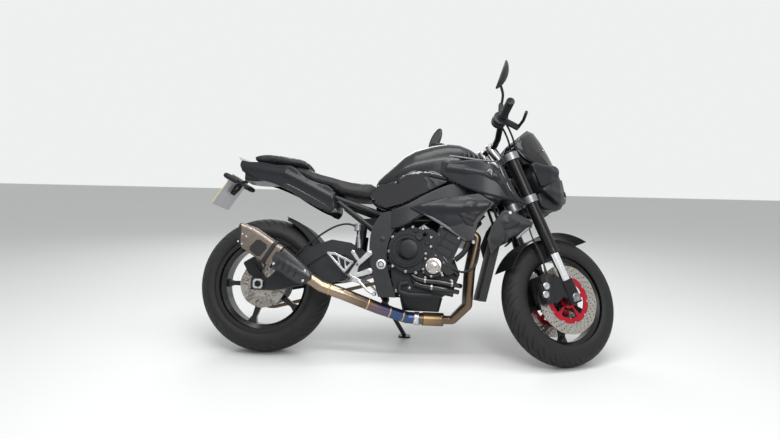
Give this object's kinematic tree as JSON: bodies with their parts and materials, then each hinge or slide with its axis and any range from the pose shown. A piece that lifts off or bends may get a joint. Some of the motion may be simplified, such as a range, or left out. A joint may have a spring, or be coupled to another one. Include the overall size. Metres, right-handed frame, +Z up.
{
  "type": "standard motorcycle",
  "caption": "Naked sports motorcycle leaning on its side stand, steered to its left lock, with turning wheels, steering, folding stand and filler lid.",
  "frame": {"origin": "on the ground, under the middle of the parked machine's overall box", "axes": "+X forward, +Y to the machine's left, +Z up"},
  "size_m": [1.9954, 0.8183, 1.3986],
  "materials": {
    "frame_metal": "satin",
    "gloss_black": "gloss",
    "body_plastic": "satin",
    "panel_plastic": "satin",
    "trim_plastic": "matte",
    "engine_metal": "satin",
    "bronze_metal": "satin",
    "bare_aluminium": "satin",
    "exhaust_steel": "satin",
    "titanium": "satin",
    "carbon": "satin",
    "disc_steel": "satin",
    "red_anodised": "satin",
    "chain_steel": "satin",
    "fork_chrome": "polished",
    "tyre_rubber": "matte",
    "hose_rubber": "matte",
    "seat_vinyl": "matte",
    "lamp_glass": "gloss",
    "red_lens": "gloss",
    "plate_back": "matte"
  },
  "bodies": {
    "chassis": {"engine_case": "engine_metal", "cylinders": "engine_metal", "engine_covers": "engine_metal", "ignition_cover": "bronze_metal", "coolant_hoses": "hose_rubber", "radiator": "trim_plastic", "radiator_covers": "panel_plastic", "exhaust_headers": "exhaust_steel", "link_pipe": "exhaust_steel", "silencer": "titanium", "silencer_trim": "carbon", "fuel_tank": "gloss_black", "tank_side_covers": "panel_plastic", "air_scoops": "body_plastic", "duct_covers": "panel_plastic", "seats": "seat_vinyl", "tail_cowl": "body_plastic", "tail_lamp": "red_lens", "plate_bracket": "trim_plastic", "number_plate": "plate_back", "main_frame": "frame_metal", "subframe": "frame_metal", "swingarm": "frame_metal", "rear_shock": "chain_steel", "drive_chain": "chain_steel", "rear_mudguard": "trim_plastic", "rear_caliper": "engine_metal", "footrests": "bare_aluminium"},
    "rear_wheel": {"rear_rim": "gloss_black", "rear_tyre": "tyre_rubber", "rear_disc": "disc_steel", "rear_sprocket": "chain_steel"},
    "steering": {"fork_clamps": "frame_metal", "fork_legs": "fork_chrome", "front_calipers": "engine_metal", "front_mudguard": "trim_plastic", "headlight_cowl": "body_plastic", "headlamps": "lamp_glass", "instrument": "trim_plastic", "handlebar": "frame_metal", "grips": "hose_rubber", "hand_controls": "trim_plastic", "mirrors": "trim_plastic", "brake_hoses": "hose_rubber"},
    "front_wheel": {"front_rim": "gloss_black", "front_tyre": "tyre_rubber", "front_discs": "disc_steel", "disc_carriers": "red_anodised"},
    "stand": {"side_stand": "frame_metal"},
    "filler": {"fuel_cap": "engine_metal"}
  },
  "joints": [
    {"name": "rear_wheel_spin", "type": "hinge", "parent": "chassis", "child": "rear_wheel", "pos_m": [-0.67745, -0.15957, 0.31421], "axis": [0, 0.9711, -0.2389], "continuous": true},
    {"name": "steering_turn", "type": "hinge", "parent": "chassis", "child": "steering", "pos_m": [0.8224, -0.23847, -0.00654], "axis": [0.4007, -0.2189, -0.8897], "range_deg": [0, 53.8]},
    {"name": "front_wheel_spin", "type": "hinge", "parent": "steering", "child": "front_wheel", "pos_m": [0.71953, -0.15432, 0.281], "axis": [-0.4145, 0.8227, -0.3891], "continuous": true},
    {"name": "stand_fold", "type": "hinge", "parent": "chassis", "child": "stand", "pos_m": [-0.11187, -0.01515, 0.21057], "axis": [0.1289, 0.8626, 0.4892], "range_deg": [0, 104]},
    {"name": "filler_lid", "type": "hinge", "parent": "chassis", "child": "filler", "pos_m": [0.17723, 0.00883, 0.99877], "axis": [0, 0.9711, -0.2389], "range_deg": [0, 100]}
  ]
}
